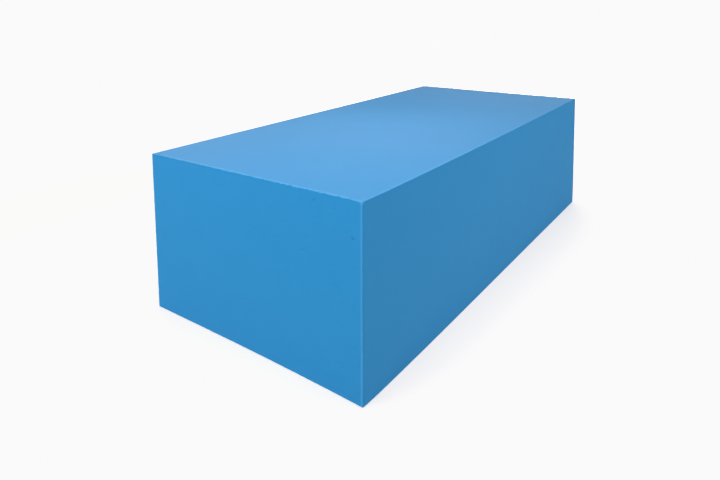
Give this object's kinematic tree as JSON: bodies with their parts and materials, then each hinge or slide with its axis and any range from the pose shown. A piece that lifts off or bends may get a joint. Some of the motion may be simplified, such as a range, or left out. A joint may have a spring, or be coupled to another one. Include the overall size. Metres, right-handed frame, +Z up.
{
  "type": "foam block",
  "caption": "Plain rectangular block of fine-celled flexible foam with cut faces, for padding, packing, support or sound absorption.",
  "frame": {"origin": "centre of the underside, on the surface that the block stands on", "axes": "+X along the block's length, +Y across its width, +Z up from the underside to the top face"},
  "size_m": [0.7, 0.3, 0.195],
  "materials": {
    "foam": "matt cut foam with fine cells and scattered pits"
  },
  "bodies": {
    "root": {"foam_block": "foam"}
  },
  "joints": []
}
